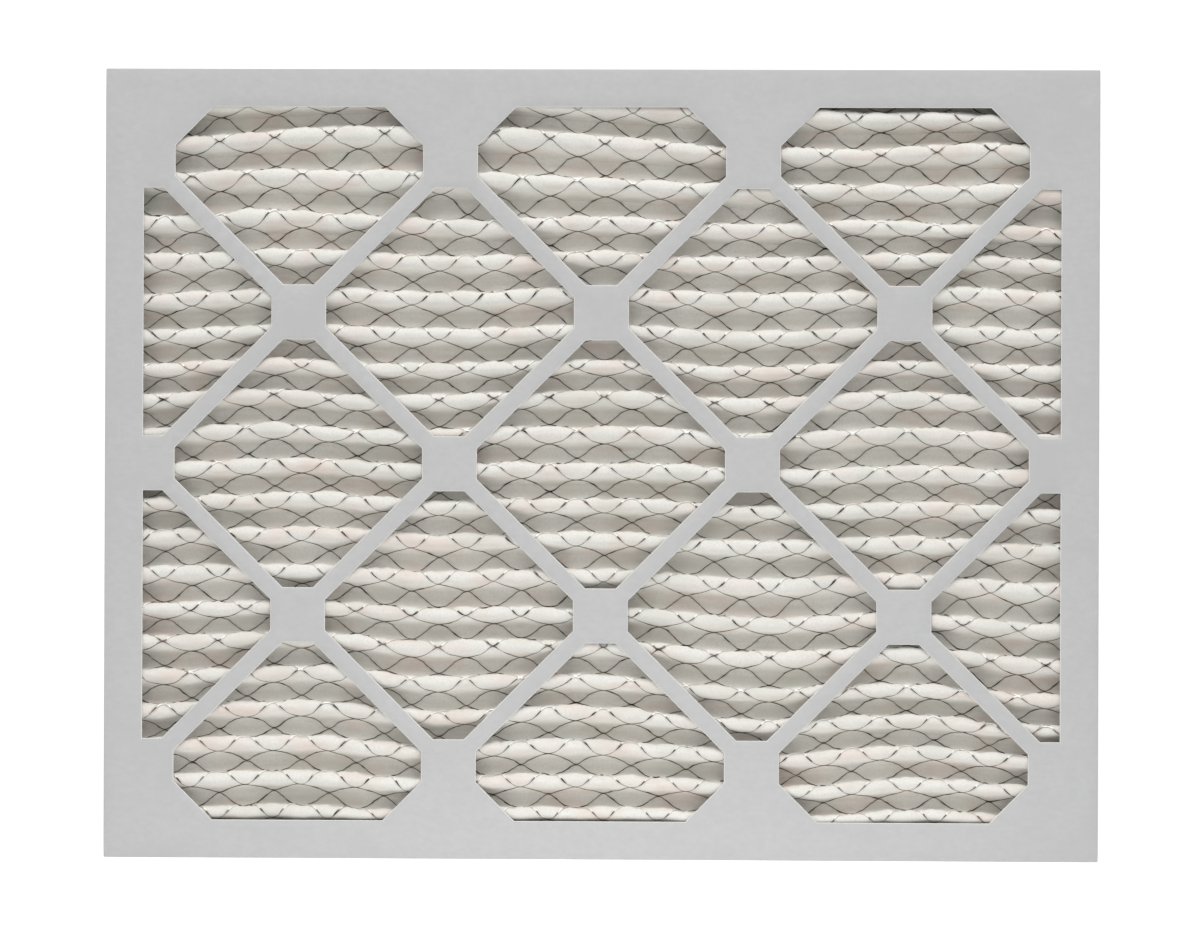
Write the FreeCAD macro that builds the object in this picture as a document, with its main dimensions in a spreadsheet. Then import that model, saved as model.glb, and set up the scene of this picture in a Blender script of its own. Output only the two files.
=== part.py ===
import FreeCAD, Part

import math
import os

import Sketcher

# Pleated panel air filter for a furnace, of the nominal 20 x 16 x 1 inch size, in millimetres.
# It lies flat: X runs along the long side and along the pleats, Y across the pleats, and Z
# from the air-entering face up to the air-leaving face. The origin is the bottom's centre.
#
# Two paperboard trays are nested into each other, open side to open side. Each is die-cut with a
# diamond lattice and folded up from one sheet. The pleated medium lies between them, and an
# expanded metal grid is bonded to its air-leaving side and folded together with it.

SIZES = (
    ("frame_length", 495.3, "outer length, half an inch under the nominal 20 inch slot"),
    ("frame_width", 393.7, "outer width, half an inch under the nominal 16 inch slot"),
    ("frame_depth", 19.05, "outer depth, a quarter inch under the nominal 1 inch"),
    ("board_thick", 0.7, "thickness of the paperboard"),
    ("fold_round", 0.6, "outer radius of the board's folded edges"),
    ("border_width", 19.05, "width of the solid border round the lattice"),
    ("lattice_step", 75.5, "from a node plate's centre to the next opening's centre"),
    ("strap_width", 8.6, "width of a diagonal strap of the lattice"),
    ("plate_width", 27.4, "width of the plate where the straps cross"),
    ("tab_length", 16.0, "length of the glue tabs inside the corners"),
    ("nest_gap", 0.1, "gap between the two trays' walls"),
    ("pack_gap", 0.3, "gap between the pleat pack and the trays"),
    ("pleat_count", 22, "number of pleats"),
    ("pleat_lean", 1.0, "how far a pleat's tip leans off the middle, towards +Y"),
    ("media_thick", 1.5, "thickness of the non-woven medium"),
    ("fold_inner", 0.8, "inner radius of a pleat's folds"),
    ("grid_gap", 0.05, "gap between the medium and the metal grid"),
    ("grid_thick", 0.25, "thickness of one strand of the grid"),
    ("strand_width", 0.6, "width of one strand of the grid"),
    ("grid_long_way", 27.5, "length of the grid's diamonds, along X"),
    ("grid_short_way", 25.1, "width of the grid's diamonds, measured on the unfolded sheet"),
    ("grid_stride", 4, "every how many strands one is modelled"),
)

doc = FreeCAD.newDocument("air_filter")
sheet = doc.addObject("Spreadsheet::Sheet", "sizes")
for row, (alias, number, meaning) in enumerate(SIZES, start=1):
    sheet.set(f"A{row}", alias)
    sheet.set(f"B{row}", str(number))
    sheet.set(f"C{row}", meaning)
    sheet.setAlias(f"B{row}", alias)
doc.recompute()


def size(alias):
    """The number in the sheet's cell of that alias."""
    return float(sheet.get(alias))


# Expressions of the sheet that several sketches share.
WINDOW_LENGTH = "(sizes.frame_length - 2 * sizes.border_width)"
WINDOW_WIDTH = "(sizes.frame_width - 2 * sizes.border_width)"
OPENING_FLAT = "(sizes.lattice_step - sizes.plate_width / 2)"
OPENING_REACH = "(sizes.lattice_step - sizes.strap_width / sqrt(2))"
# The inner tray is smaller along X by the outer tray's wall and its glue tabs, and along Y by
# the wall alone.
INNER_LENGTH = "(sizes.frame_length - 4 * sizes.board_thick - 4 * sizes.nest_gap)"
INNER_WIDTH = "(sizes.frame_width - 2 * sizes.board_thick - 2 * sizes.nest_gap)"
# The pleat pack ends a gap short of the inner tray's walls and tabs.
PACK_LENGTH = f"({INNER_LENGTH} - 4 * sizes.board_thick - 2 * sizes.pack_gap)"
PACK_WIDTH = f"({INNER_WIDTH} - 2 * sizes.board_thick - 2 * sizes.pack_gap)"
PACK_FLOOR = "(sizes.board_thick + sizes.pack_gap)"
PACK_HEIGHT = (
    "(sizes.frame_depth - 2 * sizes.board_thick - 2 * sizes.pack_gap"
    " - sizes.grid_gap - 2 * sizes.grid_thick)"
)
PLEAT_STEP = f"(({PACK_WIDTH} - sizes.media_thick) / sizes.pleat_count)"
FOLD_OUTER = "(sizes.fold_inner + sizes.media_thick)"
# A fold turns about a centre. FOLD_RISE is the height from a valley's centre to a tip's.
FOLD_RISE = f"({PACK_HEIGHT} - 2 * {FOLD_OUTER})"
FALL_RUN = f"({PLEAT_STEP} / 2 + sizes.pleat_lean)"
CLIMB_RUN = f"({PLEAT_STEP} / 2 - sizes.pleat_lean)"


def value(expression):
    """What an expression of the sheet comes to now."""
    return float(sheet.evalExpression(expression.replace("sizes.", "")))


def new_sketch(body, name, plane, x="0", y="0", z="0"):
    """A sketch on one of the body's origin planes, moved in that plane by x, y and off it by z."""
    sketch = body.newObject("Sketcher::SketchObject", name)
    support = [f for f in body.Origin.OriginFeatures if f.Role == plane]
    sketch.AttachmentSupport = [(support[0], "")]
    sketch.MapMode = "FlatFace"
    for axis, expression in (("x", x), ("y", y), ("z", z)):
        sketch.setExpression(f".AttachmentOffset.Base.{axis}", expression)
    return sketch


def bind(sketch, kind, places, name, expression):
    """Adds a constraint of a given size and ties it to the sheet."""
    index = sketch.addConstraint(Sketcher.Constraint(kind, *places, value(expression)))
    sketch.renameConstraint(index, name)
    sketch.setExpression(f"Constraints.{name}", expression)


def add_outline(sketch, points):
    """A closed outline of straight lines through the points. Returns the first line's number."""
    first = sketch.GeometryCount
    ends = points[1:] + points[:1]
    for a, b in zip(points, ends):
        line = Part.LineSegment(FreeCAD.Vector(*a, 0), FreeCAD.Vector(*b, 0))
        sketch.addGeometry(line, False)
    count = len(points)
    for k in range(count):
        after = first + (k + 1) % count
        sketch.addConstraint(Sketcher.Constraint("Coincident", first + k, 2, after, 1))
    return first


def centred_rectangle(sketch, tag, wide, tall):
    """A rectangle about the sketch's origin. wide and tall are expressions."""
    w = value(wide) / 2
    t = value(tall) / 2
    first = add_outline(sketch, [(-w, -t), (w, -t), (w, t), (-w, t)])
    for k, kind in enumerate(("Horizontal", "Vertical", "Horizontal", "Vertical")):
        sketch.addConstraint(Sketcher.Constraint(kind, first + k))
    sketch.addConstraint(Sketcher.Constraint("Symmetric", first, 1, first + 2, 1, -1, 1))
    bind(sketch, "DistanceX", (first, 1, first, 2), f"{tag}_wide", wide)
    bind(sketch, "DistanceY", (first + 1, 1, first + 1, 2), f"{tag}_tall", tall)


def corner_rectangle(sketch, tag, wide, tall):
    """A rectangle from the sketch's origin towards +x and +y. wide and tall are expressions."""
    w = value(wide)
    t = value(tall)
    first = add_outline(sketch, [(0, 0), (w, 0), (w, t), (0, t)])
    for k, kind in enumerate(("Horizontal", "Vertical", "Horizontal", "Vertical")):
        sketch.addConstraint(Sketcher.Constraint(kind, first + k))
    sketch.addConstraint(Sketcher.Constraint("Coincident", first, 1, -1, 1))
    bind(sketch, "DistanceX", (first, 1, first, 2), f"{tag}_wide", wide)
    bind(sketch, "DistanceY", (first + 1, 1, first + 1, 2), f"{tag}_tall", tall)


def lattice_opening(sketch):
    """One opening of the lattice about the sketch's origin: a diamond with its tips cut off."""
    flat = value(OPENING_FLAT)
    half = value(OPENING_REACH) - flat
    quarter = [(flat, -half), (flat, half)]
    points = []
    for turn in range(4):
        angle = math.pi / 2 * turn
        for x, y in quarter:
            points.append(
                (
                    x * math.cos(angle) - y * math.sin(angle),
                    x * math.sin(angle) + y * math.cos(angle),
                )
            )
    add_outline(sketch, points)
    right, top, left, bottom = 0, 2, 4, 6
    for line in (right, left):
        sketch.addConstraint(Sketcher.Constraint("Symmetric", line, 1, line, 2, -1))
    for line in (top, bottom):
        sketch.addConstraint(Sketcher.Constraint("Symmetric", line, 1, line, 2, -2))
    for line in (top, left, bottom):
        sketch.addConstraint(Sketcher.Constraint("Equal", right, line))
    bind(sketch, "DistanceX", (-1, 1, right, 1), "flat_right", OPENING_FLAT)
    bind(sketch, "DistanceX", (left, 1, -1, 1), "flat_left", OPENING_FLAT)
    bind(sketch, "DistanceY", (-1, 1, top, 1), "flat_top", OPENING_FLAT)
    bind(sketch, "DistanceY", (bottom, 1, -1, 1), "flat_bottom", OPENING_FLAT)
    bind(sketch, "Distance", (right,), "flat_long", f"2 * ({OPENING_REACH} - {OPENING_FLAT})")


def pad(body, name, profile, length, symmetric=False):
    """Material from the profile, off its plane by the length, an expression."""
    feature = body.newObject("PartDesign::Pad", name)
    feature.Profile = profile
    feature.Type = "Length"
    feature.SideType = "Symmetric" if symmetric else "One side"
    feature.setExpression("Length", length)
    return feature


def grid_pattern(body, name, original, profile, columns, step_x, rows, step_y):
    """Copies of a feature in columns and rows, along the axes of its sketch."""
    pattern = body.newObject("PartDesign::LinearPattern", name)
    pattern.Originals = [original]
    pattern.Direction = (profile, ["H_Axis"])
    pattern.Direction2 = (profile, ["V_Axis"])
    pattern.Mode = "Spacing"
    pattern.Mode2 = "Spacing"
    pattern.Occurrences = columns
    pattern.Occurrences2 = rows
    # A spacing of -1 stands for the offset.
    pattern.Spacings2 = [-1.0] * (rows - 1)
    pattern.setExpression("Offset", step_x)
    pattern.setExpression("Offset2", step_y)
    body.Tip = pattern
    return pattern


def cut_openings(body, tag, first_column, first_row):
    """Cuts every second opening of the lattice that has its centre in the window, both ways.

    first_column and first_row count lattice steps from the centre to the first of them.
    """
    columns = 1 - first_column
    rows = 1 - first_row
    place_x = f"{first_column} * sizes.lattice_step"
    place_y = f"{first_row} * sizes.lattice_step"
    profile = new_sketch(body, f"{body.Name}_{tag}_opening", "XY_Plane", place_x, place_y)
    lattice_opening(profile)
    pocket = body.newObject("PartDesign::Pocket", f"{body.Name}_{tag}_cut")
    pocket.Profile = profile
    pocket.Type = "ThroughAll"
    pocket.SideType = "Symmetric"
    step = "2 * sizes.lattice_step"
    name = f"{body.Name}_{tag}_lattice"
    grid_pattern(body, name, pocket, profile, columns, step, rows, step)


def reach_in_steps(window, odd):
    """How many lattice steps out the last even or odd opening with its centre in the window is."""
    steps = value(window) / 2 / size("lattice_step")
    if odd:
        return 2 * math.floor((steps + 1) / 2) - 1
    return 2 * math.floor(steps / 2)


def tray(name, length, width, face_low, wall_low, wall_high):
    """A die-cut sheet with a diamond lattice, folded up into a tray with glued corner tabs."""
    body = doc.addObject("PartDesign::Body", name)
    body.Label = name

    face = new_sketch(body, f"{name}_face_outline", "XY_Plane", z=face_low)
    centred_rectangle(face, "face", length, width)
    pad(body, f"{name}_face", face, "sizes.board_thick")

    for tag, odd in (("even", False), ("odd", True)):
        column = -reach_in_steps(WINDOW_LENGTH, odd)
        row = -reach_in_steps(WINDOW_WIDTH, odd)
        cut_openings(body, tag, column, row)

    border = new_sketch(body, f"{name}_border_outline", "XY_Plane", z=face_low)
    centred_rectangle(border, "outside", length, width)
    centred_rectangle(border, "window", WINDOW_LENGTH, WINDOW_WIDTH)
    pad(body, f"{name}_border", border, "sizes.board_thick")

    walls = new_sketch(body, f"{name}_wall_outline", "XY_Plane", z=wall_low)
    centred_rectangle(walls, "outside", length, width)
    inside_length = f"{length} - 2 * sizes.board_thick"
    inside_width = f"{width} - 2 * sizes.board_thick"
    centred_rectangle(walls, "inside", inside_length, inside_width)
    pad(body, f"{name}_walls", walls, f"{wall_high} - {wall_low}")

    corner_x = f"sizes.board_thick - {length} / 2"
    corner_y = f"sizes.board_thick - {width} / 2"
    tab = new_sketch(body, f"{name}_tab_outline", "XY_Plane", corner_x, corner_y, wall_low)
    corner_rectangle(tab, "tab", "sizes.board_thick", "sizes.tab_length")
    tab_pad = pad(body, f"{name}_tab", tab, f"{wall_high} - {wall_low}")
    across = f"{length} - 3 * sizes.board_thick"
    along = f"{width} - 2 * sizes.board_thick - sizes.tab_length"
    grid_pattern(body, f"{name}_tabs", tab_pad, tab, 2, across, 2, along)
    doc.recompute()

    # The four folds to the walls and the four folds to the tabs are the outline's outer edges.
    shape = body.Shape
    outer_z = value(face_low)
    if outer_z > 0:
        outer_z += size("board_thick")
    folds = []
    for index, edge in enumerate(shape.Edges, start=1):
        box = edge.BoundBox
        on_side_x = abs(abs(box.Center.x) - value(length) / 2) < 1e-6 and box.XLength < 1e-6
        on_side_y = abs(abs(box.Center.y) - value(width) / 2) < 1e-6 and box.YLength < 1e-6
        at_face = abs(box.Center.z - outer_z) < 1e-6 and box.ZLength < 1e-6
        if (at_face and (on_side_x or on_side_y)) or (on_side_x and on_side_y):
            folds.append(f"Edge{index}")
    unrounded = body.Tip
    rounding = body.newObject("PartDesign::Fillet", f"{name}_folds")
    rounding.Base = (unrounded, folds)
    rounding.setExpression("Radius", "sizes.fold_round")
    body.Tip = rounding
    return body


front_frame = tray(
    "front_frame",
    "sizes.frame_length",
    "sizes.frame_width",
    "sizes.frame_depth - sizes.board_thick",
    "0",
    "sizes.frame_depth",
)
back_frame = tray(
    "back_frame",
    INNER_LENGTH,
    INNER_WIDTH,
    "0",
    "0",
    "sizes.frame_depth - sizes.board_thick - sizes.nest_gap",
)


# The pleated medium.
# One pitch of it is drawn from the middle of one falling flank to the middle of the next, about
# the valley fold's centre, and is repeated along -Y. Flanks are straight and tangent to the folds.

def flank_slope(run, rise, bend):
    """Angle off the vertical of the straight flank between two opposite folds of one radius."""
    return math.atan2(run, rise) - math.asin(2 * bend / math.hypot(run, rise))


def draw_pleat(sketch):
    """Draws one pitch of the folded medium, as a closed band, in a sketch with y up."""
    thick = size("media_thick")
    inner = size("fold_inner")
    outer = inner + thick
    rise = value(FOLD_RISE)
    fall = value(FALL_RUN)
    climb = value(CLIMB_RUN)
    fall_slope = flank_slope(fall, rise, inner + thick / 2)
    climb_slope = flank_slope(climb, rise, inner + thick / 2)
    valley = FreeCAD.Vector(0, 0, 0)
    tip = FreeCAD.Vector(-climb, rise, 0)
    start = FreeCAD.Vector(fall / 2, rise / 2, 0)
    end = tip - start
    half_cut = FreeCAD.Vector(thick / 2 / math.cos(fall_slope), 0, 0)
    from_fall = FreeCAD.Vector(math.cos(fall_slope), -math.sin(fall_slope), 0)
    from_climb = FreeCAD.Vector(math.cos(climb_slope), math.sin(climb_slope), 0)
    to_climb = FreeCAD.Vector(-math.cos(climb_slope), -math.sin(climb_slope), 0)
    to_fall = FreeCAD.Vector(-math.cos(fall_slope), math.sin(fall_slope), 0)

    def line(a, b):
        """A straight stretch."""
        return sketch.addGeometry(Part.LineSegment(a, b), False)

    def arc(centre, radius, a0, a1):
        """A fold, from angle a0 to angle a1, anticlockwise."""
        circle = Part.Circle(centre, FreeCAD.Vector(0, 0, 1), radius)
        return sketch.addGeometry(Part.ArcOfCircle(circle, a0, a1), False)

    valley_angles = (climb_slope - math.pi, -fall_slope)
    tip_angles = (climb_slope, math.pi - fall_slope)
    front = [
        line(start - half_cut, valley + from_fall * inner),
        arc(valley, inner, *valley_angles),
        line(valley + to_climb * inner, tip + from_climb * outer),
        arc(tip, outer, *tip_angles),
        line(tip + to_fall * outer, end - half_cut),
    ]
    end_cut = line(end - half_cut, end + half_cut)
    back = [
        line(end + half_cut, tip + to_fall * inner),
        arc(tip, inner, *tip_angles),
        line(tip + from_climb * inner, valley + to_climb * outer),
        arc(valley, outer, *valley_angles),
        line(valley + from_fall * outer, start + half_cut),
    ]
    start_cut = line(start + half_cut, start - half_cut)

    # Each joint is (stretch, its end, next stretch, its end).
    smooth = (
        (front[0], 2, front[1], 2),
        (front[1], 1, front[2], 1),
        (front[2], 2, front[3], 1),
        (front[3], 2, front[4], 1),
        (back[0], 2, back[1], 2),
        (back[1], 1, back[2], 1),
        (back[2], 2, back[3], 1),
        (back[3], 2, back[4], 1),
    )
    for joint in smooth:
        sketch.addConstraint(Sketcher.Constraint("Tangent", *joint))
    square = (
        (front[4], 2, end_cut, 1),
        (end_cut, 2, back[0], 1),
        (back[4], 2, start_cut, 1),
        (start_cut, 2, front[0], 1),
        (front[1], 3, back[3], 3),
        (front[3], 3, back[1], 3),
        (front[1], 3, -1, 1),
    )
    for joint in square:
        sketch.addConstraint(Sketcher.Constraint("Coincident", *joint))
    for cut in (start_cut, end_cut):
        sketch.addConstraint(Sketcher.Constraint("Horizontal", cut))
    sketch.addConstraint(Sketcher.Constraint("Parallel", front[0], back[4]))
    sketch.addConstraint(Sketcher.Constraint("Parallel", front[4], back[0]))
    bind(sketch, "Radius", (front[1],), "valley_front", "sizes.fold_inner")
    bind(sketch, "Radius", (back[3],), "valley_back", FOLD_OUTER)
    bind(sketch, "Radius", (front[3],), "tip_front", FOLD_OUTER)
    bind(sketch, "Radius", (back[1],), "tip_back", "sizes.fold_inner")
    bind(sketch, "DistanceX", (front[3], 3, -1, 1), "climb_run", CLIMB_RUN)
    bind(sketch, "DistanceY", (-1, 1, front[3], 3), "fold_rise", FOLD_RISE)
    bind(sketch, "DistanceY", (-1, 1, start_cut, 1), "start_height", f"{FOLD_RISE} / 2")
    bind(sketch, "DistanceY", (-1, 1, end_cut, 1), "end_height", f"{FOLD_RISE} / 2")

    # The middle of each cut lies on the line between the two folds' centres.
    middle = sketch.addGeometry(Part.Point(start), True)
    sketch.addConstraint(Sketcher.Constraint("Symmetric", start_cut, 1, start_cut, 2, middle, 1))
    bind(sketch, "DistanceX", (-1, 1, middle, 1), "start_place", f"{FALL_RUN} / 2")
    middle = sketch.addGeometry(Part.Point(end), True)
    sketch.addConstraint(Sketcher.Constraint("Symmetric", end_cut, 1, end_cut, 2, middle, 1))
    end_place = f"{CLIMB_RUN} + {FALL_RUN} / 2"
    bind(sketch, "DistanceX", (middle, 1, -1, 1), "end_place", end_place)


# The first valley's centre, measured from the +Y end of the pack.
FIRST_VALLEY_Y = f"({PACK_WIDTH} / 2 - sizes.media_thick / 2 - {FALL_RUN} / 2)"
VALLEY_Z = f"({PACK_FLOOR} + {FOLD_OUTER})"

media = doc.addObject("PartDesign::Body", "pleated_media")
media.Label = "pleated_media"
pleat_profile = new_sketch(media, "pleat_profile", "YZ_Plane", FIRST_VALLEY_Y, VALLEY_Z)
draw_pleat(pleat_profile)
pleat = pad(media, "pleat", pleat_profile, PACK_LENGTH, symmetric=True)
pleats = media.newObject("PartDesign::LinearPattern", "pleats")
pleats.Originals = [pleat]
pleats.Direction = (pleat_profile, ["H_Axis"])
pleats.Reversed = True
pleats.Mode = "Spacing"
pleats.setExpression("Occurrences", "sizes.pleat_count")
pleats.setExpression("Offset", PLEAT_STEP)
media.Tip = pleats

# The first and the last half pleat stand up along the tray's walls, where they are glued.
FLAP_HEIGHT = f"({PACK_HEIGHT} / 2)"
FIRST_FLAP_Y = f"({PACK_WIDTH} / 2 - sizes.media_thick)"
LAST_FLAP_Y = f"(-{PACK_WIDTH} / 2)"
MIDDLE_Z = f"({PACK_FLOOR} + {FLAP_HEIGHT})"
for tag, place_y, place_z in (
    ("first", FIRST_FLAP_Y, MIDDLE_Z),
    ("last", LAST_FLAP_Y, PACK_FLOOR),
):
    flap = new_sketch(media, f"{tag}_flap_outline", "YZ_Plane", place_y, place_z)
    corner_rectangle(flap, tag, "sizes.media_thick", FLAP_HEIGHT)
    flap_pad = pad(media, f"{tag}_flap", flap, PACK_LENGTH, symmetric=True)
    media.Tip = flap_pad


# The metal grid.
# On the unfolded sheet its strands are two families of straight lines that cross in diamonds, one
# family lying on the other. Folded, a strand follows the medium's front surface, bending at the
# two ends of each fold. Every fourth strand of the real grid is modelled, in its true place.

def front_path(offset):
    """Corners in Y and Z of the medium's front surface, raised by the offset, along -Y."""
    thick = size("media_thick")
    inner = size("fold_inner")
    rise = value(FOLD_RISE)
    fall = value(FALL_RUN)
    climb = value(CLIMB_RUN)
    step = value(PLEAT_STEP)
    valley_z = value(VALLEY_Z)
    first_y = value(FIRST_VALLEY_Y)
    fall_slope = flank_slope(fall, rise, inner + thick / 2)
    climb_slope = flank_slope(climb, rise, inner + thick / 2)
    in_valley = inner - offset
    over_tip = inner + thick + offset
    quarter_turn = (math.pi - fall_slope - climb_slope) / 4
    corner_reach = over_tip / math.cos(quarter_turn)
    corners = []
    for number in range(int(size("pleat_count"))):
        valley_y = first_y - number * step
        tip_y = valley_y - climb
        for y, z, radius, angle in (
            (valley_y, valley_z, in_valley, -fall_slope),
            (valley_y, valley_z, in_valley, climb_slope - math.pi),
            (tip_y, valley_z + rise, corner_reach, climb_slope + quarter_turn),
            (tip_y, valley_z + rise, corner_reach, climb_slope + 3 * quarter_turn),
        ):
            corners.append((y + radius * math.cos(angle), z + radius * math.sin(angle)))
    return corners


def strand_sections(low, high, at, start_x, lean, half_x, half_wide):
    """Cross-sections of one strand, clipped to the pack's length along X.

    low and high are the paths of its two faces, at their distances along the unfolded sheet, and
    lean is how far the strand moves along X for each millimetre of that distance.
    """
    sections = []

    def add(k, share):
        """One section, between corner k and the next."""
        x = start_x + lean * (at[k] + share * (at[k + 1] - at[k]))
        ends = []
        for path in (low, high):
            y = path[k][0] + share * (path[k + 1][0] - path[k][0])
            z = path[k][1] + share * (path[k + 1][1] - path[k][1])
            ends.append((y, z))
        (y0, z0), (y1, z1) = ends
        sections.append(
            [
                FreeCAD.Vector(x - half_wide, y0, z0),
                FreeCAD.Vector(x + half_wide, y0, z0),
                FreeCAD.Vector(x + half_wide, y1, z1),
                FreeCAD.Vector(x - half_wide, y1, z1),
            ]
        )

    for k in range(len(at) - 1):
        x0 = start_x + lean * at[k]
        x1 = start_x + lean * at[k + 1]
        share_in = max(0.0, min(1.0, (math.copysign(half_x, -lean) - x0) / (x1 - x0)))
        share_out = max(0.0, min(1.0, (math.copysign(half_x, lean) - x0) / (x1 - x0)))
        if share_out - share_in < 0.02:
            continue
        if not sections:
            add(k, share_in)
        add(k, share_out)
    return sections


def strand_solid(sections):
    """A closed solid through the sections. Its sides are split into triangles to stay flat."""
    faces = []

    def add(*points):
        """One flat face."""
        faces.append(Part.Face(Part.makePolygon([*points, points[0]])))

    for a, b in zip(sections, sections[1:]):
        add(a[0], a[1], b[1], b[0])
        add(a[3], b[3], b[2], a[2])
        for left, right in ((0, 3), (2, 1)):
            add(a[left], b[left], b[right])
            add(a[left], b[right], a[right])
    add(*reversed(sections[0]))
    add(*sections[-1])
    shell = Part.makeShell(faces)
    shell.sewShape()
    solid = Part.makeSolid(shell)
    if solid.Volume < 0:
        solid.reverse()
    return solid


def strand_family(layer, side):
    """All strands that lean to one side, in layer 0 or 1 above the medium."""
    low = front_path(size("grid_gap") + layer * size("grid_thick"))
    high = front_path(size("grid_gap") + (layer + 1) * size("grid_thick"))
    base = front_path(size("grid_gap"))
    at = [0.0]
    for a, b in zip(base, base[1:]):
        at.append(at[-1] + math.hypot(b[0] - a[0], b[1] - a[1]))
    lean = side * size("grid_long_way") / size("grid_short_way")
    wide = size("strand_width") * math.hypot(1, lean)
    half_x = value(PACK_LENGTH) / 2 - wide / 2
    spacing = size("grid_long_way") * size("grid_stride")
    travel = abs(lean) * at[-1]
    solids = []
    for number in range(int((2 * half_x + travel) / spacing) + 1):
        start_x = side * (half_x - (number + 0.5) * spacing)
        sections = strand_sections(low, high, at, start_x, lean, half_x, wide / 2)
        if len(sections) > 2:
            solids.append(strand_solid(sections))
    return solids


support_grid = doc.addObject("Part::Feature", "support_grid")
support_grid.Label = "support_grid"
support_grid.Shape = Part.makeCompound(strand_family(0, 1) + strand_family(1, -1))

doc.recompute()

for item in doc.Objects:
    if "Invalid" in item.State or "Error" in item.State:
        raise RuntimeError(f"{item.Name} failed: {item.State}")

PIECES = (front_frame, back_frame, media, support_grid)
for piece in PIECES:
    if piece.Shape.isNull() or not piece.Shape.isValid():
        raise RuntimeError(f"{piece.Label} has no valid shape")

os.makedirs("parts", exist_ok=True)
for piece in PIECES:
    piece.Shape.exportStep(f"parts/{piece.Label}.step")
    solids = len(piece.Shape.Solids)
    print(f"{piece.Label}: {solids} solid(s), {piece.Shape.Volume / 1000:.1f} cm3")
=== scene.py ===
"""Looks of a pleated panel air filter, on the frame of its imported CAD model, in metres."""

import logging
import math
from dataclasses import dataclass
from enum import Enum, IntEnum
from functools import partial, partialmethod
from itertools import product
from typing import Any

import bmesh
import bpy
import numpy as np
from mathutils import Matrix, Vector
from mathutils.geometry import delaunay_2d_cdt


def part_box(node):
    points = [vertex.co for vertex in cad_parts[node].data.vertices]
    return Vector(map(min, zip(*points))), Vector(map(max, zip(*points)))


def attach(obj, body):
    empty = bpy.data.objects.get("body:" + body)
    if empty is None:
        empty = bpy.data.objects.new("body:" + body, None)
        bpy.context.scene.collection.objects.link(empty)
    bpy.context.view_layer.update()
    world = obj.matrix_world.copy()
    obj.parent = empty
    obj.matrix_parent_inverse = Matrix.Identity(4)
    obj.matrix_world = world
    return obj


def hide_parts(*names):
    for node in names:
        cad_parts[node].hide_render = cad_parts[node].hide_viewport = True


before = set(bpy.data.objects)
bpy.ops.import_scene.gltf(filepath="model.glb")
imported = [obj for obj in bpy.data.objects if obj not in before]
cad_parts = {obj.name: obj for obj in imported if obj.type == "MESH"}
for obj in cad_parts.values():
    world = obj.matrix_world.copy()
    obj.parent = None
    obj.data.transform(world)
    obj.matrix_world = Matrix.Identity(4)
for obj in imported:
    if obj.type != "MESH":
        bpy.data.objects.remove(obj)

Pair = tuple[float, float]
Triple = tuple[float, float, float]

LOG = logging.getLogger("air_filter")
MM = 0.001
IMAGE_SIZE = (1200, 939)
TOUCH = 1e-9
MERGE = 1e-7
LEAST_AREA = 1e-6
# A box's corners run through X, Y and Z from low to high, Z the fastest.
BOX_FACES = ((0, 1, 3, 2), (4, 6, 7, 5), (0, 4, 5, 1), (2, 3, 7, 6), (0, 2, 6, 4), (1, 5, 7, 3))


def linear(hex_colour: str) -> tuple[float, float, float, float]:
    """Turns an sRGB hex colour into the linear colour that sockets take.

    Args:
        hex_colour: six hex digits after a hash.

    Returns:
        Red, green, blue and an alpha of 1.
    """
    channels = []
    for start in (1, 3, 5):
        share = int(hex_colour[start : start + 2], 16) / 255
        channels.append(share / 12.92 if share <= 0.04045 else ((share + 0.055) / 1.055) ** 2.4)
    return (*channels, 1.0)


def fill(tree: Any, node: Any, inputs: dict[Any, Any]) -> None:
    """Links or sets a node's inputs.

    Args:
        tree: the node's tree.
        node: the node.
        inputs: per input, by name or number, an output to link or a value to set.
    """
    for key, given in inputs.items():
        if isinstance(given, (Number, bpy.types.NodeSocket)):
            tree.links.new(getattr(given, "output", given), node.inputs[key])
        else:
            node.inputs[key].default_value = given


def add_node(tree: Any, kind: str, inputs: dict[Any, Any] | None = None, **settings: Any) -> Any:
    """Adds a node, sets its properties, and fills its inputs.

    Args:
        tree: the node tree that gets it.
        kind: the node's type.
        inputs: per input, an output to link or a value to set.
        **settings: properties of the node.

    Returns:
        The node.
    """
    node = tree.nodes.new(kind)
    for name, setting in settings.items():
        setattr(node, name, setting)
    fill(tree, node, inputs or {})
    return node


def first_output(tree: Any, kind: str, inputs: dict[Any, Any] | None = None, **settings: Any) -> Any:
    """Adds a node as add_node does, and gives its first output."""
    return add_node(tree, kind, inputs, **settings).outputs[0]


@dataclass(frozen=True)
class Number:
    """A node's output as a number that can be reckoned with, which adds math nodes to the tree."""

    tree: Any
    output: Any

    def calc(self, operation: str, *others: Any) -> "Number":
        """What a math node makes of this number and others, which may be plain ones."""
        values = dict(enumerate((self, *others)))
        return Number(self.tree, first_output(self.tree, "ShaderNodeMath", values, operation=operation))

    __add__ = partialmethod(calc, "ADD")
    __sub__ = partialmethod(calc, "SUBTRACT")
    __mul__ = partialmethod(calc, "MULTIPLY")
    __truediv__ = partialmethod(calc, "DIVIDE")


def vector_sum(tree: Any, first: Any, second: Any) -> Any:
    """The sum of two outputs with vectors."""
    return first_output(tree, "ShaderNodeVectorMath", {0: first, 1: second}, operation="ADD")


def noise_output(tree: Any, place: Any, scale: float, detail: float, roughness: float = 0.5) -> Any:
    """Noise at an output's places, about 0.5 in the middle. Detail counts its finer layers."""
    inputs = {"Vector": place, "Scale": scale, "Detail": detail, "Roughness": roughness}
    return add_node(tree, "ShaderNodeTexNoise", inputs).outputs["Fac"]


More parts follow.
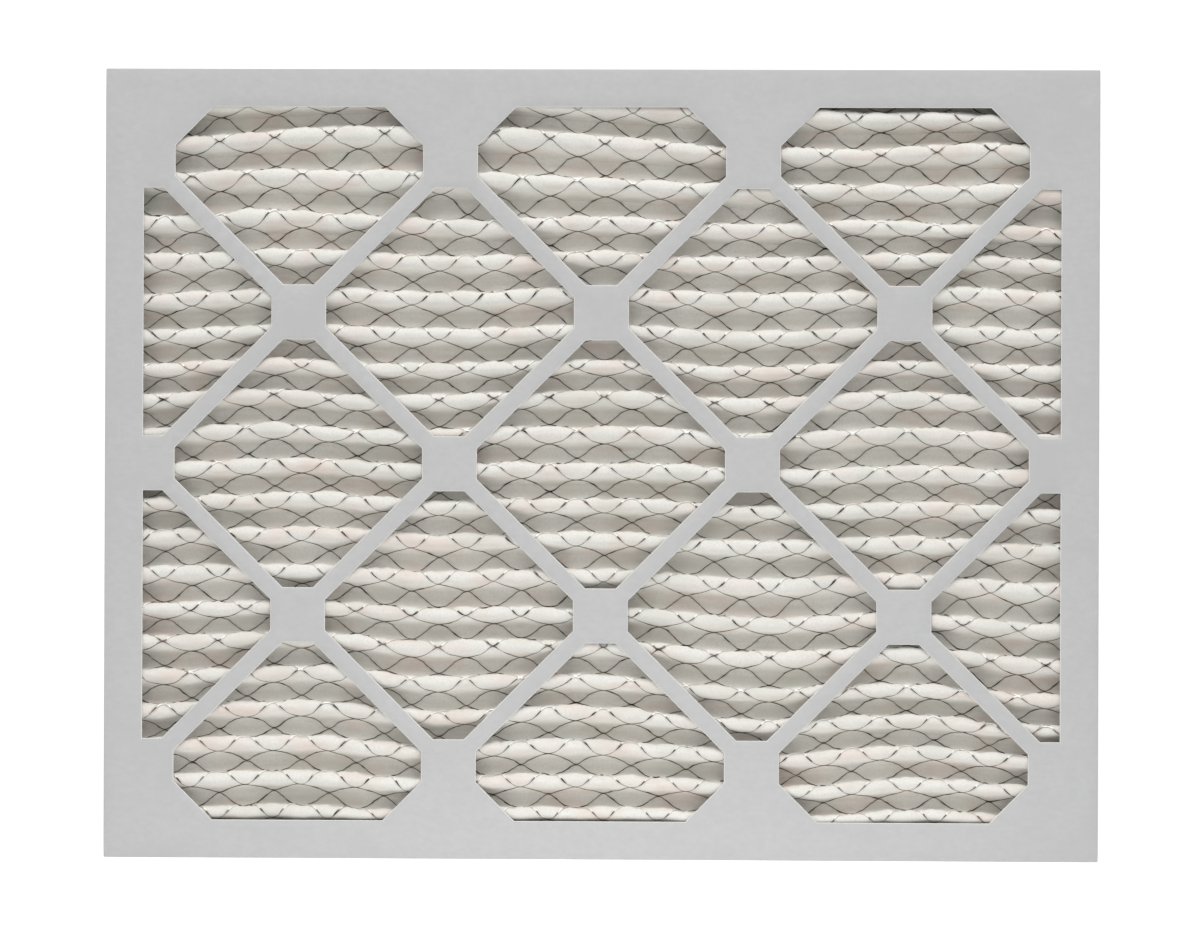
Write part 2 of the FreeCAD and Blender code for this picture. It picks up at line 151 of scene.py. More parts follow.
def stretched(tree: Any, value: Any, limits: Pair, results: Any = (0.0, 1.0)) -> Any:
    """Stretches an output from two limits to two results, and cuts it there."""
    return first_output(tree, "ShaderNodeMapRange", dict(enumerate((value, *limits, *results))))


def attribute_output(tree: Any, name: str, kind: str) -> Any:
    """The output of a mesh's named attribute."""
    return first_output(tree, "GeometryNodeInputNamedAttribute", {"Name": name}, data_type=kind)


def stored(tree: Any, geometry: Any, name: str, value: Any, kind: str) -> Any:
    """Stores a value as a named attribute of a geometry's points."""
    inputs = {"Geometry": geometry, "Name": name, "Value": value}
    return first_output(tree, "GeometryNodeStoreNamedAttribute", inputs, data_type=kind, domain="POINT")


def grain(tree: Any, size_mm: Triple, detail: float, roughness: float) -> Any:
    """Noise in object space whose features are about as large as the sizes given.

    Args:
        tree: the material's tree.
        size_mm: size of a feature along X, Y and Z.
        detail: how many finer layers it has.
        roughness: how strong the finer layers are.

    Returns:
        The noise's output, about 0.5 in the middle.
    """
    place = add_node(tree, "ShaderNodeTexCoord").outputs["Object"]
    inputs = {"Vector": place, "Scale": [1 / (MM * size) for size in size_mm]}
    scaled = add_node(tree, "ShaderNodeMapping", inputs).outputs["Vector"]
    return noise_output(tree, scaled, scale=1.0, detail=detail, roughness=roughness)


def blend(tree: Any, factor: Any, low: Any, high: Any, limits: Pair) -> Any:
    """Mixes two colours by a factor that is first stretched between two limits.

    Args:
        tree: the material's tree.
        factor: an output that is about 0 to 1.
        low: sRGB hex colour, or output, where the factor is at the first limit.
        high: sRGB hex colour, or output, where the factor is at the second limit.
        limits: the two limits.

    Returns:
        The mixed colour's output.
    """
    low, high = (linear(colour) if isinstance(colour, str) else colour for colour in (low, high))
    inputs = {0: stretched(tree, factor, limits), 6: low, 7: high}
    return add_node(tree, "ShaderNodeMix", inputs, data_type="RGBA").outputs[2]


def bump(tree: Any, height: Any, strength: float, depth_mm: float, under: Any = None) -> Any:
    """Bends the shading normal by a height.

    Args:
        tree: the material's tree.
        height: an output that is about 0 to 1.
        strength: how strong the bump is.
        depth_mm: what a height of 1 stands for.
        under: the output of a bump that lies under this one.

    Returns:
        The normal's output.
    """
    inputs = {"Height": height, "Strength": strength, "Distance": depth_mm * MM}
    if under is not None:
        inputs["Normal"] = under
    return add_node(tree, "ShaderNodeBump", inputs).outputs["Normal"]


def new_material(name: str) -> tuple[bpy.types.Material, Any, Any]:
    """Makes an empty node material.

    Args:
        name: its name.

    Returns:
        The material, its tree and its Principled shader, which is linked to the output.
    """
    material = bpy.data.materials.new(name)
    material.use_nodes = True
    tree = material.node_tree
    tree.nodes.clear()
    shader = add_node(tree, "ShaderNodeBsdfPrincipled")
    add_node(tree, "ShaderNodeOutputMaterial", {"Surface": shader.outputs["BSDF"]})
    return material, tree, shader


@dataclass
class DiamondPattern:
    """Where the expanded metal's diamonds lie on the flat sheet. Sizes in millimetres.

    The long way runs along the pleats, and the short way along the sheet's developed length. The phases are
    how far the pattern is shifted back. The medium swells between the strands the more steeply the lower the
    power. Its fullness differs from diamond to diamond, and repeats after as many of them as variety says.
    """

    long_way: float = 27.5
    short_way: float = 25.0
    phase_x: float = 2.5
    phase_y: float = 0.0
    power: float = 0.8
    fullness: Pair = (0.65, 1.35)
    variety: int = 97
    seed: int = 9

    def cushions(self, x: Any, y: Any) -> Any:
        """How high the medium stands at each place, 0 at the strands and about 1 in a diamond's middle.

        Args:
            x: the places' X on the flat sheet.
            y: the places' Y on the flat sheet.

        Returns:
            An array of their shape. No two diamonds are filled alike.
        """
        along, down = (x + self.phase_x) / self.long_way, (y + self.phase_y) / self.short_way
        a, b = along + down, along - down
        fill_of = np.random.default_rng(self.seed).uniform(*self.fullness, (self.variety, self.variety))
        filled = fill_of[np.floor(a).astype(int) % self.variety, np.floor(b).astype(int) % self.variety]
        return filled * np.abs(np.sin(np.pi * a) * np.sin(np.pi * b)) ** self.power


@dataclass(frozen=True)
class GreyPaperboard:
    """Recycled chipboard with a calendered grey liner, die-cut. Matt, with faint fibre streaks along X."""

    name: str = "grey_lined_chipboard"
    light: str = "#c6c6c6"
    dark: str = "#bfbfc0"
    streak_mm: Triple = (4.0, 2.5, 2.5)
    cloud_mm: float = 30.0
    fibre_mm: float = 0.05
    roughness: float = 0.7
    ior: float = 1.48

    def material(self) -> bpy.types.Material:
        """Makes the material.

        Returns:
            The material.
        """
        material, tree, shader = new_material(self.name)
        streaks = grain(tree, self.streak_mm, detail=3.0, roughness=0.6)
        clouds = grain(tree, (self.cloud_mm,) * 3, detail=2.0, roughness=0.5)
        streaked = blend(tree, streaks, self.dark, self.light, limits=(0.2, 0.7))
        colour = blend(tree, clouds, self.dark, streaked, limits=(0.15, 0.5))
        # The liner's fibres are drawn wider than they are, to show at all.
        normal = bump(tree, streaks, strength=0.12, depth_mm=self.fibre_mm)
        inputs = {"Base Color": colour, "Normal": normal, "Roughness": self.roughness, "IOR": self.ior}
        fill(tree, shader, inputs)
        return material


@dataclass(frozen=True)
class CutPaperboard:
    """The same board where the die cut it: bare pulp, lighter and rougher than the liner."""

    name: str = "die_cut_board_edge"
    light: str = "#edebe7"
    dark: str = "#d9d7d3"
    pulp_mm: Triple = (0.9, 0.9, 0.25)
    roughness: float = 0.9

    def material(self) -> bpy.types.Material:
        """Makes the material.

        Returns:
            The material.
        """
        material, tree, shader = new_material(self.name)
        pulp = grain(tree, self.pulp_mm, detail=2.0, roughness=0.6)
        colour = blend(tree, pulp, self.dark, self.light, limits=(0.3, 0.65))
        fill(tree, shader, {"Base Color": colour, "Roughness": self.roughness})
        return material


@dataclass(frozen=True)
class NonWoven:
    """Thermally bonded polyester wool, carded in a lap. Very matt and off-white, with warm and cool clouds.

    The support grid's strands draw it in, so it stands out in a soft cushion between them.
    """

    pattern: DiamondPattern
    name: str = "bonded_non_woven"
    clean: str = "#edebe5"
    warm: str = "#e8d9d0"
    cool: str = "#dcdbd2"
    cloud_mm: Triple = (26.0, 12.0, 12.0)
    cool_scale: float = 1.7
    fibre_mm: float = 1.1
    tuft_mm: float = 0.25
    cushion_mm: float = 0.35
    cushion_power: float = 0.65
    roughness: float = 0.95
    sheen: float = 0.5
    sheen_roughness: float = 0.5

    def cushions(self, tree: Any) -> Any:
        """Height of the cushions between the strands, from the sheet's own flat places.

        Args:
            tree: the material's tree.

        Returns:
            The output, 0 at the strands and 1 in a diamond's middle.
        """
        flat = first_output(tree, "ShaderNodeUVMap", uv_map="flat_sheet")
        place = add_node(tree, "ShaderNodeSeparateXYZ", {0: flat}).outputs
        x, y = Number(tree, place["X"]), Number(tree, place["Y"])
        along = (x + self.pattern.phase_x * MM) / (self.pattern.long_way * MM)
        down = (y + self.pattern.phase_y * MM) / (self.pattern.short_way * MM)
        waves = ((along + down) * math.pi).calc("SINE") * ((along - down) * math.pi).calc("SINE")
        return waves.calc("ABSOLUTE").calc("POWER", self.cushion_power)

    def material(self) -> bpy.types.Material:
        """Makes the material.

        Returns:
            The material.
        """
        material, tree, shader = new_material(self.name)
        warmth = grain(tree, self.cloud_mm, detail=3.0, roughness=0.55)
        larger = tuple(self.cool_scale * size for size in self.cloud_mm)
        coolness = grain(tree, larger, detail=3.0, roughness=0.55)
        fibres = grain(tree, (self.fibre_mm,) * 3, detail=4.0, roughness=0.65)
        colour = blend(tree, warmth, self.clean, self.warm, limits=(0.48, 0.72))
        colour = blend(tree, coolness, colour, self.cool, limits=(0.48, 0.76))
        colour = blend(tree, fibres, self.cool, colour, limits=(0.2, 0.55))
        # Real fibres are 0.03 mm thick. Their tufts, about 1 mm wide, are what shows.
        cushions = bump(tree, self.cushions(tree), strength=1.0, depth_mm=self.cushion_mm)
        normal = bump(tree, fibres, strength=0.5, depth_mm=self.tuft_mm, under=cushions)
        fill(tree, shader, {"Base Color": colour, "Normal": normal, "Roughness": self.roughness})
        fill(tree, shader, {"Sheen Weight": self.sheen, "Sheen Roughness": self.sheen_roughness})
        return material


@dataclass(frozen=True)
class GalvanisedSteel:
    """Mesh, slit and stretched from galvanised strip. Dull grey-brown metal, with a painted glint where it
    bends over the pleats' edges and a painted shade beside it.
    """

    name: str = "galvanised_expanded_steel"
    light: str = "#a39a8c"
    dark: str = "#5b5248"
    # The colours of the painted shade and the painted glint at the strands' bends.
    shadow: str = "#3d352d"
    bright: str = "#fbfaf7"
    spangle_mm: float = 2.6
    roughness: Pair = (0.3, 0.5)

    def material(self) -> bpy.types.Material:
        """Makes the material.

        Returns:
            The material.
        """
        material, tree, shader = new_material(self.name)
        spangle = grain(tree, (self.spangle_mm,) * 3, detail=1.0, roughness=0.5)
        dull = blend(tree, spangle, self.dark, self.light, limits=(0.4, 0.75))
        # Painted glint and painted shade: the strands turn near white where they bend over the pleats' edges,
        # and darker just beside it, by the value each row gives them.
        shine = add_node(tree, "ShaderNodeAttribute", attribute_name="shine").outputs["Fac"]
        with_painted_shade = blend(tree, shine, self.shadow, dull, limits=(-0.7, -0.1))
        colour = blend(tree, shine, with_painted_shade, self.bright, limits=(0.35, 0.7))
        rough = stretched(tree, shine, limits=(0.2, 0.7), results=self.roughness)
        fill(tree, shader, {"Base Color": colour, "Roughness": rough, "Metallic": 1.0})
        return material


@dataclass(frozen=True)
class WhiteFloor:
    """White paper sweep, which the camera sees as plain white with the object's soft shadow left on it."""

    name: str = "white_sweep"
    paper: str = "#f4f4f4"
    glow: str = "#ffffff"
    lift: float = 0.5
    roughness: float = 0.9

    def material(self) -> bpy.types.Material:
        """Makes the material.

        Returns:
            The material.
        """
        material, tree, shader = new_material(self.name)
        rays = add_node(tree, "ShaderNodeLightPath").outputs
        strength = Number(tree, rays["Is Camera Ray"]).calc("MAXIMUM", rays["Is Glossy Ray"]) * self.lift
        fill(tree, shader, {"Base Color": linear(self.paper), "Roughness": self.roughness})
        fill(tree, shader, {"Emission Color": linear(self.glow), "Emission Strength": strength})
        return material


def mesh_object(name: str, points: Any, faces: Any, materials: list[bpy.types.Material]) -> bpy.types.Object:
    """Makes an object at the origin from points and faces, and links it to the scene.

    Args:
        name: the object's name.
        points: rows of X, Y and Z in metres.
        faces: tuples of point numbers.
        materials: the materials of its slots.

    Returns:
        The object.
    """
    mesh = bpy.data.meshes.new(name)
    mesh.from_pydata([tuple(p) for p in points], [], faces)
    mesh.update()
    for material in materials:
        mesh.materials.append(material)
    made = bpy.data.objects.new(name, mesh)
    bpy.context.scene.collection.objects.link(made)
    return made


def finish_mesh(mesh: bpy.types.Mesh, sharp_degrees: float) -> None:
    """Turns a closed mesh's faces outwards, and shades it smooth apart from its sharp edges.

    Args:
        mesh: the mesh.
        sharp_degrees: how much an edge bends at least to be sharp.
    """
    work = bmesh.new()
    work.from_mesh(mesh)
    bmesh.ops.recalc_face_normals(work, faces=work.faces)
    work.to_mesh(mesh)
    work.free()
    mesh.polygons.foreach_set("use_smooth", [True] * len(mesh.polygons))
    mesh.set_sharp_from_angle(angle=math.radians(sharp_degrees))


def smoothstep(low: float, high: float, x: Any) -> Any:
    """Goes smoothly from 0 at low to 1 at high."""
    share = np.clip((x - low) / (high - low), 0.0, 1.0)
    return share * share * (3 - 2 * share)


def between(p: Any, q: Any, share: float) -> Pair:
    """The point at a share of the way from one to the other."""
    return p[0] + share * (q[0] - p[0]), p[1] + share * (q[1] - p[1])


@dataclass(frozen=True)
class Lattice:
    """The pattern cut in both trays: straps on the diagonals, a plate at each crossing. In millimetres."""

    length: float = 495.3
    width: float = 393.7
    border: float = 19.05
    step: float = 75.5
    strap: float = 8.6
    plate: float = 27.4

    def centres(self) -> list[Pair]:
        """X and Y of all openings' centres, in rows from the top, the full rows first."""
        places = [*product((2, 0, -2), (-2, 0, 2)), *product((1, -1), (-3, -1, 1, 3))]
        return [(column * self.step, row * self.step) for row, column in places]

    def limits(self, centre: Pair, grow: float) -> list[Triple]:
        """An opening's sides, as a x + b y <= c with (a, b) a unit normal.

        Args:
            centre: the opening's centre.
            grow: how far the sides are moved out.

        Returns:
            The sides' a, b and c.
        """
        flat = self.step - self.plate / 2
        reach = (self.step - self.strap / math.sqrt(2)) / math.sqrt(2)
        window = (self.length / 2 - self.border, self.width / 2 - self.border)
        sides = []
        for turn in range(8):
            a, b = math.cos(turn * math.pi / 4), math.sin(turn * math.pi / 4)
            sides.append((a, b, a * centre[0] + b * centre[1] + (reach if turn % 2 else flat) + grow))
        for turn in range(4):
            a, b = math.cos(turn * math.pi / 2), math.sin(turn * math.pi / 2)
            sides.append((a, b, window[turn % 2] + grow))
        return sides

    def outline(self, centre: Pair, grow: float) -> list[Pair]:
        """An opening's corners, anticlockwise.

        Args:
            centre: the opening's centre.
            grow: how far the sides are moved out.

        Returns:
            Their X and Y.
        """
        (left, foot), (right, top) = ([c + 2 * way * self.step for c in centre] for way in (-1, 1))
        corners = [(left, foot), (right, foot), (right, top), (left, top)]
        # Each side in turn cuts off what lies outside it.
        for a, b, c in self.limits(centre, grow):
            kept = []
            for p, q in zip(corners, corners[1:] + corners[:1]):
                in_p, in_q = (c - a * x - b * y for x, y in (p, q))
                if in_p >= -TOUCH:
                    kept.append(p)
                if min(in_p, in_q) < -TOUCH and max(in_p, in_q) > TOUCH:
                    kept.append(between(p, q, in_p / (in_p - in_q)))
            corners = kept
        return corners

    def depth_in_opening(self, x: Any, y: Any) -> Any:
        """How far inside an opening each point lies, and below 0 on the board.

        Args:
            x: the points' X.
            y: the points' Y.

        Returns:
            The distance to the nearest side, in millimetres.
        """
        inside = []
        for centre in self.centres():
            inside.append(np.min([c - a * x - b * y for a, b, c in self.limits(centre, 0.0)], axis=0))
        return np.max(inside, axis=0)


class Side(Enum):
    """Which side of the filter a tray closes."""

    LEAVING = "leaving_side_tray"
    ENTERING = "entering_side_tray"


class Slot(IntEnum):
    """A tray's material slots."""

    LINER = 0
    CUT = 1


@dataclass
class PaperboardTray:
    """One die-cut sheet of board, folded up into a tray. Sizes in millimetres.

    Its cuts' upper edges are pressed to a bevel. Its face sags in waves, from glued_from inside the outline
    on. Points are a cell apart, and those on the face keep spare from the cuts and the outline.
    """

    side: Side
    node: str
    depth: float
    lattice: Lattice = Lattice()
    board: float = 0.7
    fold: float = 0.6
    bevel: float = 0.34
    cut_round: float = 0.15
    least_round: float = 0.04
    round_steps: int = 4
    bevel_middle: Pair = (0.35, 0.25)
    cell: float = 6.0
    spare: Pair = (1.6, 3.5)
    wall_rows: Pair = (0.66, 0.33)
    glued_from: float = 3.0
    sag: float = 0.25
    wave: float = 0.05
    short_wave: float = 0.6
    wave_mm: tuple[float, ...] = (41.0, 33.0, 17.0, 23.0)
    tab: float = 16.0
    tab_gap: float = 0.02
    seed: int = 11

    def outline(self, inset: float) -> list[Pair]:
        """The tray's outer outline moved inwards, anticlockwise, with as many points for every inset.

        Args:
            inset: how far it is moved in.

        Returns:
            The points' X and Y.
        """
        low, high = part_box(self.node)
        half_x, half_y = (high.x - low.x) / 2 / MM, (high.y - low.y) / 2 / MM
        radius = max(self.fold - inset, self.least_round)
        x, y = half_x - inset - radius, half_y - inset - radius
        corners = ((x, -y), (x, y), (-x, y), (-x, -y))
        points = []
        for number, corner in enumerate(corners):
            for k in range(self.round_steps + 1):
                angle = math.pi / 2 * (number - 1 + k / self.round_steps)
                points.append((corner[0] + radius * math.cos(angle), corner[1] + radius * math.sin(angle)))
            angle = math.pi / 2 * number
            count = max(1, round(2 * (half_y, half_x)[number % 2] / self.cell))
            for k in range(1, count):
                on_x, on_y = between(corner, corners[(number + 1) % 4], k / count)
                points.append((on_x + radius * math.cos(angle), on_y + radius * math.sin(angle)))
        return points

    def cut_loop(self, centre: Pair, grow: float) -> list[Pair]:
        """An opening's outline with points along its sides, as many for every growth.

        Args:
            centre: the opening's centre.
            grow: how far the sides are moved out.

        Returns:
            The points' X and Y.
        """
        true, moved = (self.lattice.outline(centre, size) for size in (0.0, grow))
        points = []
        for k, (p, q) in enumerate(zip(moved, moved[1:] + moved[:1])):
            count = max(1, round(math.dist(true[k], true[(k + 1) % len(true)]) / self.cell))
            points += [between(p, q, step / count) for step in range(count)]
        return points

    def face(self, inset: float, grow: float) -> tuple[list[Pair], list[tuple[int, ...]]]:
        """Triangles that fill the lattice between its outer outline and its openings.

        Args:
            inset: how far the outer outline is moved in.
            grow: how far the openings' sides are moved out.

        Returns:
            The points and the triangles. The loops' points come first, in order.
        """
        loops = [self.outline(inset)] + [self.cut_loop(c, grow) for c in self.lattice.centres()]
        points = [p for loop in loops for p in loop]
        edges = []
        start = 0
        for loop in loops:
            edges += [(start + k, start + (k + 1) % len(loop)) for k in range(len(loop))]
            start += len(loop)
        half_x, half_y = self.lattice.length / 2, self.lattice.width / 2
        lines = (np.arange(-half + self.cell / 2, half, self.cell) for half in (half_x, half_y))
        grid_x, grid_y = np.meshgrid(*lines)
        on_board = self.lattice.depth_in_opening(grid_x, grid_y) < -self.spare[0]
        on_board &= np.minimum(half_x - abs(grid_x), half_y - abs(grid_y)) > self.spare[1]
        points += list(zip(grid_x[on_board].tolist(), grid_y[on_board].tolist()))
        made = delaunay_2d_cdt([Vector(p) for p in points], edges, [], 0, MERGE)
        if len(made[0]) != len(points):
            raise RuntimeError(f"{self.node}: the lattice's triangles lost points")
        back = {new: olds[-1] for new, olds in enumerate(made[3])}
        corners = np.array([[points[back[i]] for i in face] for face in made[2]])
        middle = corners.mean(axis=1)
        reach = np.abs(loops[0]).max(axis=0)
        keep = self.lattice.depth_in_opening(middle[:, 0], middle[:, 1]) < -grow
        keep &= (abs(middle) < reach).all(axis=1)
        keep &= abs(np.cross(corners[:, 1] - corners[:, 0], corners[:, 2] - corners[:, 0])) > LEAST_AREA
        return points, [tuple(back[i] for i in made[2][k]) for k in np.flatnonzero(keep)]

    def build(self, surface: bpy.types.Material, cut: bpy.types.Material) -> bpy.types.Object:
        """Makes the tray, face up, and turns it over for the entering side.

        Args:
            surface: material of the board's liner.
            cut: material of its cut edges.

        Returns:
            The tray's object.
        """
        points: list[Triple] = []
        faces: list[tuple[int, ...]] = []
        slots: list[int] = []

        def ring(loop: list[Pair], z: float) -> list[int]:
            """Adds points at a height, and gives their numbers."""
            points.extend((x, y, z) for x, y in loop)
            return list(range(len(points) - len(loop), len(points)))

        def join(loops: list[list[int]], cut_below: float) -> None:
            """Adds bands of faces between loops. They are cut edges where they lie below a height."""
            for upper, lower in zip(loops, loops[1:]):
                z = max(points[upper[0]][2], points[lower[0]][2])
                slots.extend([Slot.CUT if z <= cut_below else Slot.LINER] * len(upper))
                faces.extend(zip(upper, lower, lower[1:] + lower[:1], upper[1:] + upper[:1]))

        top, under = self.depth, self.depth - self.board
        centres = self.lattice.centres()
        sizes = [len(self.outline(0.0))] + [len(self.cut_loop(centre, 0.0)) for centre in centres]
        starts = np.cumsum([0] + sizes)
        rims = []
        for inset, grow, z in ((self.fold, self.bevel, top), (self.board, self.cut_round, under)):
            flat, triangles = self.face(inset, grow)
            numbers = ring(flat, z)
            faces += [tuple(numbers[i] for i in face) for face in triangles]
            slots += [Slot.LINER] * len(triangles)
            rims.append([numbers[a:b] for a, b in zip(starts, starts[1:])])

        # Round the fold in a quarter of a circle, down the wall, round its cut end, and up inside.
        profile = []
        for k in range(1, self.round_steps + 1):
            turn = math.pi / 2 / self.round_steps * k
            profile.append((self.fold * (1 - math.sin(turn)), top - self.fold * (1 - math.cos(turn))))
        heights = (*(share * top for share in self.wall_rows), self.cut_round)
        profile += [(0.0, z) for z in heights]
        profile += [(self.cut_round, 0.0), (self.board - self.cut_round, 0.0)]
        profile += [(self.board, z) for z in heights[::-1]]
        walls = [ring(self.outline(inset), z) for inset, z in profile]
        join([rims[0][0], *walls, rims[1][0]], self.cut_round)
        out, down = (share * self.bevel for share in self.bevel_middle)
        rounded = [(out, top - down), (0.0, top - self.bevel), (0.0, under + self.cut_round)]
        for centre, upper, lower in zip(centres, rims[0][1:], rims[1][1:]):
            join([upper, *(ring(self.cut_loop(centre, grow), z) for grow, z in rounded), lower], top)

        # The short walls end in glue tabs, which are folded round the corners, inside the long walls' ends.
        half_x, half_y = (max(abs(p[axis]) for p in points) - self.board for axis in (0, 1))
        gap = self.tab_gap
        for sign_x, sign_y in product((-1, 1), repeat=2):
            first = len(points)
            for dx, dy, z in product((gap, self.board), (gap, self.tab), (0.0, under - gap)):
                points.append((sign_x * (half_x - dx), sign_y * (half_y - dy), z))
            faces += [tuple(first + n for n in face) for face in BOX_FACES]
            slots += [Slot.LINER] * len(BOX_FACES)

        place = np.array(points)
        place[:, 2] -= self.sunk(place[:, 0], place[:, 1]) * (place[:, 2] >= under)
        if self.side is Side.ENTERING:
            place[:, 1:] *= -1
            place[:, 2] += self.depth
        made = mesh_object(self.side.value, place * MM, faces, [surface, cut])
        made.data.polygons.foreach_set("material_index", slots)
        finish_mesh(made.data, sharp_degrees=50)
        return made

    def sunk(self, x: Any, y: Any) -> Any:
        """How far the board's face is drawn in, where it is glued to the pleats between its folded edges.

        Args:
            x: the points' X.
            y: the points' Y.

        Returns:
            The depth in millimetres, 0 at the outline.
        """
        inset = np.minimum(self.lattice.length / 2 - abs(x), self.lattice.width / 2 - abs(y))
        long_x, long_y, short_x, short_y = self.wave_mm
        waves = np.sin(x / long_x + self.seed) * np.sin(y / long_y + 2 * self.seed)
        waves = waves + self.short_wave * np.sin(x / short_x - y / short_y)
        return smoothstep(self.glued_from, self.lattice.border, inset) * (self.sag + self.wave * waves)


@dataclass(frozen=True)
class Wave:
    """Smooth random unevenness of some size, with a row of random values a spacing apart for each pleat.

    Each row resembles its neighbours. Sizes in millimetres.
    """

    size: float
    spacing: float
    knots: int

    def along(self, generator: np.random.Generator, rows: int, x: Any) -> Any:
        """Draws the wave.

        Args:
            generator: where the random numbers come from.
            rows: how many rows.
            x: where to read each row, in millimetres.

        Returns:
            An array of rows by places.
        """
        values = generator.normal(0.0, 1.0, (rows + 2, self.knots + 4))
        # Each row takes part of both its neighbours, and the sum is brought back to unit size.
        values = (values[:-2] + 1.4 * values[1:-1] + values[2:]) / 1.99
        at = (x - x[0]) / self.spacing
        base = np.floor(at).astype(int)
        t = at - base
        # A smooth curve through each value and the next, with the slopes that their neighbours give it.
        p = [values[:, np.clip(base + k, 0, self.knots + 3)] for k in range(4)]
        curve = (
            2 * p[1]
            + (p[2] - p[0]) * t
            + (2 * p[0] - 5 * p[1] + 4 * p[2] - p[3]) * t**2
            + (3 * p[1] - p[0] - 3 * p[2] + p[3]) * t**3
        )
        return self.size * 0.5 * curve


@dataclass(frozen=True)
class Bend:
    """One bend in a pleat's section, and how the grid lies on it.

    Attributes:
        height: its height, as a share of the pleat's.
        above: how far it lies above the pleat's edge, as a share of the way to the pleat above.
        below: how far it lies below the edge, as a share of the way to the pleat below.
        shift: a further distance above the edge, in millimetres.
        filled, droop, lean, tuft: how much it takes of the valleys' filling and of the crown's unevenness.
        rows: how many rows of points follow it.
        width, lift: a strand's width there, as a share, and how far it stands off the sheet, in millimetres.
        shine: the strands' painted light there, from -1 for a painted shade to 1 for a painted glint.
        puff: how much of its fullness the sheet has between the strands.
    """

    height: float
    above: float = 0.0
    below: float = 0.0
    shift: float = 0.0
    filled: float = 0.0
    droop: float = 0.0
    lean: float = 0.0
    tuft: float = 0.0
    rows: int = 1
    width: float = 0.95
    lift: float = 0.2
    shine: float = 0.0
    puff: float = 0.9


# A pleat's section from the valley above it, up over its edge and its crown, and down to the valley below.
SECTION = (
    Bend(0.03, above=0.27, filled=1.0, puff=0.7),
    Bend(0.13, above=0.15, filled=0.8, droop=0.3),
    Bend(0.33, shift=0.9, droop=0.5, lean=0.5),
    Bend(0.56, shift=-0.3, droop=1.0, lean=1.0, rows=2, width=1.0, lift=0.28, shine=0.3, puff=0.7),
    Bend(0.76, droop=1.0, lean=1.0, tuft=1.0, rows=2, width=1.3, lift=0.4, shine=1.0),
    Bend(0.92, shift=-0.6, droop=1.0, lean=1.0, tuft=0.7, rows=2, width=1.6, lift=0.48, shine=1.3, puff=1.0),
    Bend(0.99, shift=-1.6, droop=1.0, lean=1.0, width=1.6, lift=0.48, shine=0.9, puff=1.0),
    Bend(1.0, shift=-3.0, droop=1.0, lean=1.0, width=1.15, lift=0.36, shine=-0.6, puff=1.0),
    Bend(0.97, below=0.27, droop=1.0, lean=1.0, rows=2, width=0.5, lift=0.14, shine=0.4),
    Bend(0.74, below=0.385, droop=0.5, lean=1.0, width=0.65, lift=0.16, shine=0.1, puff=0.4),
    Bend(0.38, below=0.475, lift=0.24, puff=0.2),
    Bend(0.07, below=0.56, filled=1.0, width=1.0, lift=0.22, puff=0.4),
)
EDGE_BEND = 4


